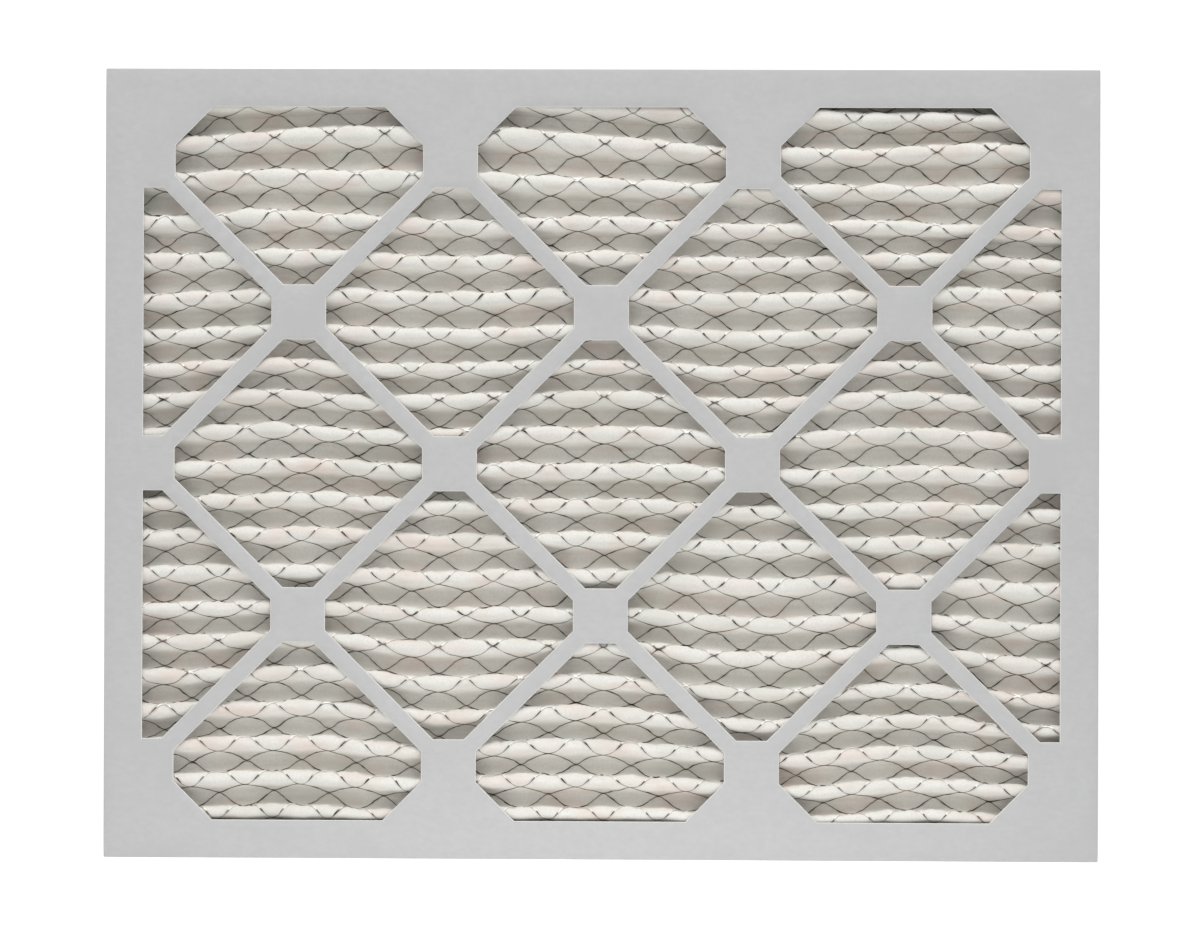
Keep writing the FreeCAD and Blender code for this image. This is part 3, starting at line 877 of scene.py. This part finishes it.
@dataclass
class PleatedMedium:
    """The non-woven sheet, folded into pleats that lean and wander as real ones do. Sizes in millimetres.

    Its crowns reach up to press under the board and up to bulge in an opening, and ease off below that. They
    stand less deep by the share of filling from the pleat with the number filled_from on. The picture has a
    bond of the grid at bond_x on the pleat with the number bond_pleat, bond_below past its edge on the sheet.
    """

    node: str = "pleated_media"
    length: float = 488.7
    half_pack: float = 195.0
    thickness: float = 1.5
    lowest: float = 1.05
    back_lowest: float = 1.0
    crest: float = 17.45
    press: float = 17.25
    bulge: float = 18.2
    ease: float = 0.6
    edge_zone: Pair = (-1.0, 5.0)
    end_pitch: float = 17.7
    filling: float = 0.13
    filled_from: int = 4
    # The sheet starts on the +Y side with a bend at its crest and one at this height, which rows follow.
    start_height: float = 0.55
    start_rows: tuple[int, ...] = (2, 2)
    # Shift and height of the bends where it ends, and how far its last row stays above its lowest place.
    end_flank: tuple[Pair, ...] = ((1.4, 0.8), (0.4, 0.55), (0.0, 0.3))
    end_lift: float = 0.1
    # Y of each pleat's edge at the filter's middle, read off the picture to half a millimetre.
    places: tuple[float, ...] = (
        180.0, 162.5, 142.5, 122.0, 104.5, 86.5, 68.0, 50.5, 35.0, 17.5, -0.5,
        -18.5, -35.5, -54.0, -73.0, -89.5, -107.0, -123.5, -140.0, -156.5, -172.5, -188.0,
    )
    # How far a pleat falls from its left end to its right one, for a few pleats by their numbers.
    slants: tuple[Pair, ...] = ((0, 14.0), (2, 11.0), (5, -2.5), (10, 3.5), (16, 11.5), (21, 0.0))
    # The plates hold the pleats back, so they sway from one column of plates to the next.
    sway: float = 1.5
    # The first pleats were glued in askew: each bows up, and swings up on the left and down on the right.
    askew: tuple[Pair, ...] = ((6.0, 1.0), (3.0, 3.5), (0.0, 1.5))
    bow_level: float = 0.35
    wander: Wave = Wave(0.5, 38.0, 14)
    # The tray holds the last pleat straighter.
    last_wander: float = 0.2
    droop: Wave = Wave(0.22, 26.0, 20)
    lean: Wave = Wave(0.3, 34.0, 16)
    ripple: Wave = Wave(0.16, 5.6, 90)
    lumps: Wave = Wave(0.12, 8.5, 60)
    tuft: float = 0.22
    columns: int = 249
    back_stride: int = 12
    rows_in_pleat: float = 3.144
    bond_pleat: int = 7
    bond_x: float = -12.2
    bond_below: float = 6.8
    seed: int = 4

    def edges(self, x: Any) -> Any:
        """Y of every pleat's upper edge at each X.

        Args:
            x: the columns' X.

        Returns:
            An array of pleats by columns.
        """
        falls = np.interp(np.arange(len(self.places)), *zip(*self.slants))
        across = 2 * x / self.length
        lines = np.array(self.places)[:, None] - 0.5 * np.outer(falls, across)
        column = math.pi * x / Lattice().step
        lines[len(self.askew) : -1] += self.sway * np.cos(column)
        for line, (bow, swing) in zip(lines, self.askew):
            line += bow * (self.bow_level - across**2) - swing * np.sin(column / 2)
        wander = self.wander.along(np.random.default_rng(self.seed), len(lines), x)
        wander[-1] *= self.last_wander
        return lines + wander

    def bends(self, x: Any) -> Any:
        """Places of all bends of the front surface, from the +Y end to the -Y end.

        Args:
            x: the columns' X.

        Returns:
            An array of bends by 2, for Y and Z, by columns.
        """
        generator = np.random.default_rng(self.seed + 1)
        edges = self.edges(x)
        count = len(edges)
        droop = np.abs(self.droop.along(generator, count, x))
        lean = self.lean.along(generator, count, x)
        tufts = self.tuft * generator.normal(0.0, 1.0, (count, len(x)))
        lean = lean + self.ripple.along(generator, count, x)
        end = np.full_like(x, self.end_pitch)
        pitches = np.vstack([end, edges[:-1] - edges[1:], end])
        low = self.lowest + self.thickness
        rise = self.crest - low
        start = self.half_pack - self.thickness
        places = [(start, self.crest), (start, low + self.start_height * rise)]
        for k, edge in enumerate(edges):
            filled = self.filling * min(k / self.filled_from, 1.0)
            for bend in SECTION:
                y = edge + bend.above * pitches[k] - bend.below * pitches[k + 1] + bend.shift
                y = y + bend.lean * lean[k] + bend.tuft * tufts[k]
                height = (bend.height + bend.filled * filled) * rise - bend.droop * droop[k]
                places.append((y, low + height))
        places[-3:] = [(shift - self.half_pack, low + height * rise) for shift, height in self.end_flank]
        places.append((-self.half_pack, self.lowest + self.end_lift))
        return np.array([[np.broadcast_to(value, x.shape) for value in place] for place in places])

    def row_counts(self) -> list[int]:
        """How many rows of points follow each bend, from the +Y end."""
        return [*self.start_rows] + [bend.rows for bend in SECTION] * len(self.places)

    def edge_rows(self) -> Any:
        """Numbers of the rows that follow the pleats' upper edges, but for the last pleat."""
        in_pleat = sum(bend.rows for bend in SECTION)
        first = sum(self.row_counts()[: len(self.start_rows) + EDGE_BEND])
        return first + in_pleat * np.arange(len(self.places) - 1)

    def by_row(self, name: str) -> Any:
        """Spreads a value that each bend gives over all rows.

        Args:
            name: the value's name in Bend.

        Returns:
            The value at each row.
        """
        given = [getattr(bend, name) for bend in SECTION]
        starts = np.concatenate([[0], np.cumsum(self.row_counts())])
        at_bends = given[:1] * len(self.start_rows) + given * len(self.places) + given[:1]
        return np.interp(np.arange(starts[-1] + 1), starts, at_bends)

    def surface(self, x: Any) -> tuple[Any, Any]:
        """The front surface before it is puffed up, and its places on the flat sheet.

        Args:
            x: the columns' X.

        Returns:
            An array of rows by columns by 3, and each row's distance along the flat sheet.
        """
        bends = self.bends(x)
        steps = self.spans(bends[:, 0], bends[:, 1])
        lines = np.diff(bends, axis=0) / steps[:, None, None]
        before, after = steps[:-1, None, None], steps[1:, None, None]
        inner = (lines[:-1] * after + lines[1:] * before) / (before + after)
        slopes = np.concatenate([lines[:1], inner, lines[-1:]])
        # The rows lie on smooth curves from each bend to the next, with these slopes.
        rows = []
        for k, count in enumerate(self.row_counts()):
            for t in np.arange(count) / count:
                rows.append(
                    (2 * t**3 - 3 * t**2 + 1) * bends[k]
                    + (t**3 - 2 * t**2 + t) * steps[k] * slopes[k]
                    + (3 * t**2 - 2 * t**3) * bends[k + 1]
                    + (t**3 - t**2) * steps[k] * slopes[k + 1]
                )
        rows.append(bends[-1])
        grid = np.array(rows)
        place = np.stack([np.broadcast_to(x, grid[:, 0].shape), grid[:, 0], grid[:, 1]], axis=2)
        flat = np.concatenate([[0.0], np.cumsum(self.spans(grid[:, 0], grid[:, 1]))])
        # The folding machine takes the same length of sheet for each pleat, however wide it later opens.
        edges = flat[self.edge_rows()]
        even = np.interp(flat, edges, np.linspace(edges[0], edges[-1], len(edges)))
        return place, np.where((flat > edges[0]) & (flat < edges[-1]), even, flat)

    @staticmethod
    def spans(y: Any, z: Any) -> Any:
        """Distances from each row of points to the next, as the mean of all columns."""
        return np.hypot(np.diff(y, axis=0), np.diff(z, axis=0)).mean(axis=1)

    @staticmethod
    def normals(place: Any) -> Any:
        """Unit normals of a grid of points, rows by columns by 3, towards the front."""
        normal = np.cross(np.gradient(place, axis=0), np.gradient(place, axis=1))
        return normal / np.linalg.norm(normal, axis=2, keepdims=True)

    def diamonds(self, flat: Any) -> DiamondPattern:
        """The grid's pattern. Its bonds creep from pleat to pleat, as a pleat takes over three half diamonds.

        Args:
            flat: each row's distance along the flat sheet.

        Returns:
            The pattern.
        """
        edges = flat[self.edge_rows()]
        short_way = float(2 * (edges[-1] - edges[0]) / (self.rows_in_pleat * (len(edges) - 1)))
        pattern = DiamondPattern(short_way=short_way)
        pattern.phase_y = float(-(edges[self.bond_pleat] + self.bond_below) % short_way)
        pattern.phase_x = float(-(self.bond_x + self.length / 2) % pattern.long_way)
        return pattern

    def puffed(self, place: Any, flat: Any, pattern: DiamondPattern) -> Any:
        """Lets the medium stand out through the grid's diamonds, and presses it flat under the board.

        Args:
            place: the front surface, rows by columns by 3.
            flat: each row's distance along the flat sheet.
            pattern: where the grid's diamonds lie.

        Returns:
            The surface, of the same shape.
        """
        cushions = pattern.cushions(place[:, :, 0] + self.length / 2, flat[:, None])
        lumps = self.lumps.along(np.random.default_rng(self.seed + 2), len(flat), place[0, :, 0])
        swell = self.by_row("puff")[:, None] * cushions + lumps
        raised = place + self.normals(place) * swell[:, :, None]
        inside = Lattice().depth_in_opening(raised[:, :, 0], raised[:, :, 1])
        ceiling = self.press + (self.bulge - self.press) * smoothstep(*self.edge_zone, inside)
        over = np.maximum(raised[:, :, 2] - (ceiling - self.ease), 0.0)
        raised[:, :, 2] -= over - self.ease * (1 - np.exp(-over / self.ease))
        return raised

    def build(self) -> tuple[bpy.types.Object, bpy.types.Object, float, DiamondPattern]:
        """Makes the folded sheet with its thickness, and its front surface alone for what lies on it.

        Returns:
            The sheet, its front surface, the flat sheet's length in metres, and the grid's pattern.
        """
        x = np.linspace(-self.length / 2, self.length / 2, self.columns)
        plain, flat = self.surface(x)
        pattern = self.diamonds(flat)
        front = self.puffed(plain, flat, pattern)
        rows = np.arange(len(flat))
        picked = np.unique(np.append(np.arange(0, self.columns, self.back_stride), self.columns - 1))
        back = (plain - self.normals(plain) * self.thickness)[:, picked]
        back[:, :, 2] = np.maximum(back[:, :, 2], self.back_lowest)

        front_numbers = np.arange(front[:, :, 0].size).reshape(front.shape[:2])
        back_numbers = front_numbers.size + np.arange(back[:, :, 0].size).reshape(back.shape[:2])
        front_flat = self.flat_places(x, flat)
        surface = mesh_object("front_surface", front.reshape(-1, 3) * MM, self.quads(front_numbers), [])
        self.write_flat(surface, front_flat)
        # Each row's strand width, lift and painted light go onto the surface for the grid; the painted light
        # is a glint above 0 and a shade below.
        for name in ("width", "lift", "shine"):
            layer = surface.data.attributes.new(name, "FLOAT", "POINT")
            layer.data.foreach_set("value", np.repeat(self.by_row(name), len(x)).astype(np.float32))

        faces = self.quads(front_numbers) + self.quads(back_numbers)
        for rim, other, at in (
            (front_numbers[0], back_numbers[0], picked),
            (front_numbers[-1], back_numbers[-1], picked),
            (front_numbers[:, 0], back_numbers[:, 0], rows),
            (front_numbers[:, -1], back_numbers[:, -1], rows),
        ):
            for k in range(len(other) - 1):
                along = rim[at[k] : at[k + 1] + 1].tolist()
                faces.append((int(other[k]), *along, int(other[k + 1])))
        points = np.vstack([front.reshape(-1, 3), back.reshape(-1, 3)]) * MM
        made = mesh_object("pleated_medium", points, faces, [NonWoven(pattern).material()])
        self.write_flat(made, np.vstack([front_flat, self.flat_places(x[picked], flat)]))
        finish_mesh(made.data, sharp_degrees=60)
        return made, surface, float(flat[-1]) * MM, pattern

    @staticmethod
    def quads(numbers: Any) -> list[tuple[int, ...]]:
        """Four-cornered faces of a grid of point numbers."""
        corners = (numbers[:-1, :-1], numbers[1:, :-1], numbers[1:, 1:], numbers[:-1, 1:])
        return [tuple(face) for face in np.stack([c.ravel() for c in corners], axis=1).tolist()]

    def flat_places(self, x: Any, flat: Any) -> Any:
        """Places on the flat sheet of a grid of points, row by row, in millimetres."""
        along, down = np.meshgrid(x + self.length / 2, flat)
        return np.stack([along, down], axis=2).reshape(-1, 2)

    @staticmethod
    def write_flat(made: bpy.types.Object, places: Any) -> None:
        """Writes each point's place on the flat sheet into a UV map.

        Args:
            made: the object.
            places: the places in millimetres. They are written in metres.
        """
        layer = made.data.uv_layers.new(name="flat_sheet")
        numbers = np.zeros(len(made.data.loops), dtype=int)
        made.data.loops.foreach_get("vertex_index", numbers)
        layer.data.foreach_set("uv", (places[numbers] * MM).astype(np.float32).ravel())


@dataclass
class ExpandedMetal:
    """The support grid: wavy strands that meet at bonds, laid along the medium's front. In millimetres."""

    pattern: DiamondPattern
    node: str = "support_grid"
    length: float = 487.5
    strand: Pair = (0.33, 0.24)
    bond: float = 1.5
    # How far a strand swings, as a share of the way between two rows, and how much its slopes are bent.
    swing: float = 0.487
    slope_bend: float = 0.16
    piece: float = 1.42
    wander: float = 0.5
    twist: float = 28.0
    lumps: float = 0.6
    lump_limits: Pair = (0.57, 0.68)
    # How far the strands' faces turn to +Y and +Z where they were rolled over a pleat's edge.
    rolled: Pair = (2.0, 4.0)
    # How fine the noises are, per metre.
    wander_scale: float = 55.0
    twist_scale: float = 160.0
    lump_scale: float = 210.0

    def inputs(
        self, sheet: bpy.types.Object, sheet_length: float, material: bpy.types.Material
    ) -> dict[str, Any]:
        """The tree's inputs by name, with lengths in metres.

        Args:
            sheet: the sheet's front surface.
            sheet_length: its flat length, in metres.
            material: the metal.

        Returns:
            The values.
        """
        half_short = self.pattern.short_way / 2
        first = math.ceil(self.pattern.phase_y / half_short)
        last = math.floor((sheet_length / MM + self.pattern.phase_y) / half_short)
        lengths = {
            "Length": self.length,
            "Long Way": self.pattern.long_way,
            "Half Short Way": half_short,
            "Phase X": self.pattern.phase_x,
            "Phase Y": self.pattern.phase_y,
            "Bond": self.bond,
            "Wander": self.wander,
            "Strand Width": self.strand[0],
            "Strand Thickness": self.strand[1],
        }
        return {
            "Sheet": sheet,
            "First Row": first,
            "Rows": last - first,
            "Points": int(self.length / self.piece),
            **{name: size * MM for name, size in lengths.items()},
            "Twist": math.radians(self.twist),
            "Lumps": self.lumps,
            "Material": material,
        }

    def tree(self, inputs: dict[str, Any]) -> bpy.types.NodeTree:
        """Makes the Geometry Nodes tree that draws the flat mesh and lays it on a folded sheet.

        Args:
            inputs: a value for each of its inputs, which tells the input's kind.

        Returns:
            The tree.
        """
        tree = bpy.data.node_groups.new("expanded_metal", "GeometryNodeTree")
        tree.interface.new_socket("Geometry", in_out="OUTPUT", socket_type="NodeSocketGeometry")
        for name, value in inputs.items():
            kind = "NodeSocket" + type(value).__name__.capitalize()
            tree.interface.new_socket(name, in_out="INPUT", socket_type=kind)
        given = {output.name: Number(tree, output) for output in add_node(tree, "NodeGroupInput").outputs}
        make = partial(first_output, tree)
        strands = self.thickened(tree, given, self.waved_rows(tree, given))
        real = make("GeometryNodeRealizeInstances", {"Geometry": strands})
        dressed = make("GeometryNodeSetMaterial", {"Geometry": real, "Material": given["Material"]})
        add_node(tree, "NodeGroupOutput", {"Geometry": dressed})
        return tree

    def waved_rows(self, tree: Any, given: Any) -> Any:
        """Rows of points along X, one for each strand, that know their waved places on the flat sheet.

        Args:
            tree: the tree.
            given: its inputs.

        Returns:
            The output with the curves.
        """
        make = partial(first_output, tree)
        half_short, long_way = given["Half Short Way"], given["Long Way"]
        first_middle = (given["First Row"] + 0.5) * half_short
        start = make("ShaderNodeCombineXYZ", {"Y": first_middle - given["Phase Y"]})
        step = make("ShaderNodeCombineXYZ", {"Y": half_short})
        line_inputs = {"Count": given["Rows"], "Start Location": start, "Offset": step}
        line = make("GeometryNodeMeshLine", line_inputs, mode="OFFSET")
        end = make("ShaderNodeCombineXYZ", {"X": given["Length"]})
        row_curve = make("GeometryNodeCurvePrimitiveLine", {"End": end})
        fine_row = make("GeometryNodeResampleCurve", {"Curve": row_curve, "Count": given["Points"]})
        rows = make("GeometryNodeInstanceOnPoints", {"Points": line, "Instance": fine_row})
        flat_rows = make("GeometryNodeRealizeInstances", {"Geometry": rows})

        # Each row swings between the bonds with its neighbours, and odd rows start half a diamond on.
        place = add_node(tree, "ShaderNodeSeparateXYZ", {0: make("GeometryNodeInputPosition")}).outputs
        x, y = Number(tree, place["X"]), Number(tree, place["Y"])
        row = ((y + given["Phase Y"]) / half_short).calc("FLOOR")
        share = ((x + given["Phase X"]) / long_way + row * 0.5).calc("FRACT")
        wave = (share - 0.5).calc("ABSOLUTE") * -4.0 + 1.0
        steep = wave * (long_way / (long_way - given["Bond"] * 2.0))
        cut = steep.calc("MINIMUM", 1.0).calc("MAXIMUM", -1.0)
        bent = cut * (1 + self.slope_bend) - cut * cut * cut * self.slope_bend
        swung = y + bent * (half_short * self.swing)
        drawn = make("ShaderNodeCombineXYZ", {"X": x, "Y": swung})
        stray = self.signed_noise(tree, drawn, self.wander_scale, detail=1.0) * given["Wander"]
        flat_place = make("ShaderNodeCombineXYZ", {"X": x, "Y": swung + stray})
        return stored(tree, flat_rows, "flat_place", flat_place, "FLOAT_VECTOR")

    @staticmethod
    def signed_noise(tree: Any, place: Any, scale: float, detail: float) -> Number:
        """Noise at an output's places, from about -1 to 1."""
        return (Number(tree, noise_output(tree, place, scale, detail)) - 0.5) * 4.0

    def thickened(self, tree: Any, given: Any, rows: Any) -> Any:
        """Lays the strands on the folded sheet, rolls them over its edges, and gives them their section.

        Args:
            tree: the tree.
            given: its inputs.
            rows: the output with the waved rows.

        Returns:
            The output with the mesh.
        """
        make = partial(first_output, tree)
        sheet = add_node(tree, "GeometryNodeObjectInfo", {"Object": given["Sheet"]}).outputs["Geometry"]
        flat_sheet, flat_place = (
            attribute_output(tree, name, "FLOAT_VECTOR") for name in ("flat_sheet", "flat_place")
        )

        def look_up(source: Any, kind: str) -> Any:
            """What the folded sheet has at each place."""
            inputs = {"Mesh": sheet, "Value": source, "UV Map": flat_sheet, "Sample UV": flat_place}
            return make("GeometryNodeSampleUVSurface", inputs, data_type=kind)

        found, normal = (
            look_up(make(source), "FLOAT_VECTOR")
            for source in ("GeometryNodeInputPosition", "GeometryNodeInputNormal")
        )
        width, lift, shine = (
            Number(tree, look_up(attribute_output(tree, name, "FLOAT"), "FLOAT"))
            for name in ("width", "lift", "shine")
        )
        raising = {0: normal, "Scale": lift * MM}
        position = vector_sum(tree, found, make("ShaderNodeVectorMath", raising, operation="SCALE"))
        # Short thick lengths are left in the strands where the slits ran out of line.
        lumpy = noise_output(tree, flat_place, self.lump_scale, detail=0.0)
        lump = Number(tree, stretched(tree, lumpy, self.lump_limits, (0.0, given["Lumps"])))
        # The strands keep the rows' painted light, lowered at the lumps, which paints these darker.
        shaded = stored(tree, rows, "shine", shine - lump, "FLOAT")
        folded = make("GeometryNodeSetPosition", {"Geometry": shaded, "Position": position})
        # At the pleats' edges the bent strands have rolled over towards the picture's top.
        to_y, to_z = (shine.calc("MAXIMUM", 0.0) * turn for turn in self.rolled)
        facing = vector_sum(tree, normal, make("ShaderNodeCombineXYZ", {"Y": to_y, "Z": to_z}))
        turned = make("GeometryNodeSetCurveNormal", {"Curve": folded, "Normal": facing}, mode="FREE")
        # Stretching leaves every strand a little twisted, more in one place than in the next.
        tilt = self.signed_noise(tree, flat_place, self.twist_scale, detail=0.0) * given["Twist"]
        twisted = make("GeometryNodeSetCurveTilt", {"Curve": turned, "Tilt": tilt})
        sides = {"Width": given["Strand Thickness"], "Height": given["Strand Width"]}
        section = make("GeometryNodeCurvePrimitiveQuadrilateral", sides)
        scale = width * (lump + 1.0)
        inputs = {"Curve": twisted, "Profile Curve": section, "Scale": scale, "Fill Caps": True}
        return make("GeometryNodeCurveToMesh", inputs)

    def build(
        self, sheet: bpy.types.Object, sheet_length: float, material: bpy.types.Material
    ) -> bpy.types.Object:
        """Lays the grid on the folded sheet.

        Args:
            sheet: the sheet's front surface.
            sheet_length: its flat length, in metres.
            material: the metal.

        Returns:
            The grid's object.
        """
        made = mesh_object("expanded_metal_grid", [(0, 0, 0)], [], [])
        inputs = self.inputs(sheet, sheet_length, material)
        modifier = made.modifiers.new("expanded_metal", "NODES")
        modifier.node_group = self.tree(inputs)
        for item in modifier.node_group.interface.items_tree:
            if item.in_out == "INPUT":
                modifier[item.identifier] = inputs[item.name]
        evaluated = made.evaluated_get(bpy.context.evaluated_depsgraph_get())
        plain = bpy.data.meshes.new_from_object(evaluated)
        made.modifiers.clear()
        made.data = plain
        return made


@dataclass(frozen=True)
class Lamp:
    """A square area lamp that looks at the object. Place and size in metres."""

    name: str
    place: Triple
    size: float
    watts: float

    def build(self) -> None:
        """Adds the lamp to the scene."""
        data = bpy.data.lights.new(self.name, "AREA")
        data.size = self.size
        data.energy = self.watts
        made = bpy.data.objects.new(self.name, data)
        made.location = self.place
        made.rotation_euler = (-Vector(self.place)).to_track_quat("-Z", "Y").to_euler()
        bpy.context.scene.collection.objects.link(made)


@dataclass
class Studio:
    """White sweep, a large soft lamp from the picture's top, a weak one from its foot, and the camera.

    The object's middle is at centre_px in the picture, where a pixel of its face takes scale_mm. The sweep's
    size and how far the camera sees are in metres.
    """

    scale_mm: float = 0.4979
    lens_mm: float = 180.0
    sensor_mm: float = 36.0
    centre_px: Pair = (600.8, 465.0)
    face_mm: float = 19.05
    roll_degrees: float = 0.21
    swing_degrees: float = 1.6
    lamps: tuple[Lamp, ...] = (
        Lamp("key", (0.0, 2.0, 1.2), 1.5, 31.0),
        Lamp("foot", (0.0, -0.45, 0.32), 0.4, 0.85),
    )
    sky: float = 0.6
    sky_colour: str = "#ffffff"
    half_sweep: float = 3.0
    far: float = 50.0

    def build(self, floor: bpy.types.Material) -> None:
        """Adds the floor, the lamps, the sky and the camera.

        Args:
            floor: the sweep's material.
        """
        half = self.half_sweep
        corners = [(-half, -half, 0.0), (half, -half, 0.0), (half, half, 0.0), (-half, half, 0.0)]
        sweep = mesh_object("sweep", corners, [(0, 1, 2, 3)], [floor])
        for lamp in self.lamps:
            lamp.build()
        scene = bpy.context.scene
        scene.world = bpy.data.worlds.new("studio")
        scene.world.use_nodes = True
        background = scene.world.node_tree.nodes["Background"]
        fill(scene.world.node_tree, background, {"Color": linear(self.sky_colour), "Strength": self.sky})
        scene.view_settings.view_transform = "Standard"

        data = bpy.data.cameras.new("camera")
        data.sensor_width = self.sensor_mm
        data.lens = self.lens_mm
        data.clip_end = self.far
        distance = self.lens_mm / self.sensor_mm * IMAGE_SIZE[0] * self.scale_mm * MM
        camera = bpy.data.objects.new("camera", data)
        swing = math.radians(self.swing_degrees)
        camera.location = (
            (IMAGE_SIZE[0] / 2 - self.centre_px[0]) * self.scale_mm * MM + distance * math.sin(swing),
            (self.centre_px[1] - IMAGE_SIZE[1] / 2) * self.scale_mm * MM,
            distance * math.cos(swing) + self.face_mm * MM,
        )
        camera.rotation_euler = (0.0, swing, math.radians(self.roll_degrees))
        scene.collection.objects.link(camera)
        scene.camera = camera


def main() -> None:
    """Builds and dresses every piece, then the studio."""
    logging.basicConfig(level=logging.INFO, format="%(message)s")
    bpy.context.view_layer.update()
    board = GreyPaperboard().material()
    cut = CutPaperboard().material()

    for tray in (
        PaperboardTray(Side.LEAVING, "front_frame", depth=19.05),
        PaperboardTray(Side.ENTERING, "back_frame", depth=18.25),
    ):
        made = tray.build(board, cut)
        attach(made, "root")
        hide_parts(tray.node)
        LOG.info("%s: %d faces", made.name, len(made.data.polygons))

    medium = PleatedMedium()
    made, surface, sheet_length, diamonds = medium.build()
    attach(made, "root")
    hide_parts(medium.node)
    LOG.info("%s: %d faces, flat length %.3f m", made.name, len(made.data.polygons), sheet_length)

    metal = ExpandedMetal(diamonds)
    made = metal.build(surface, sheet_length, GalvanisedSteel().material())
    bpy.data.objects.remove(surface)
    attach(made, "root")
    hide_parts(metal.node)
    LOG.info("%s: %d faces", made.name, len(made.data.polygons))

    Studio().build(WhiteFloor().material())


if __name__ == "__main__":
    main()
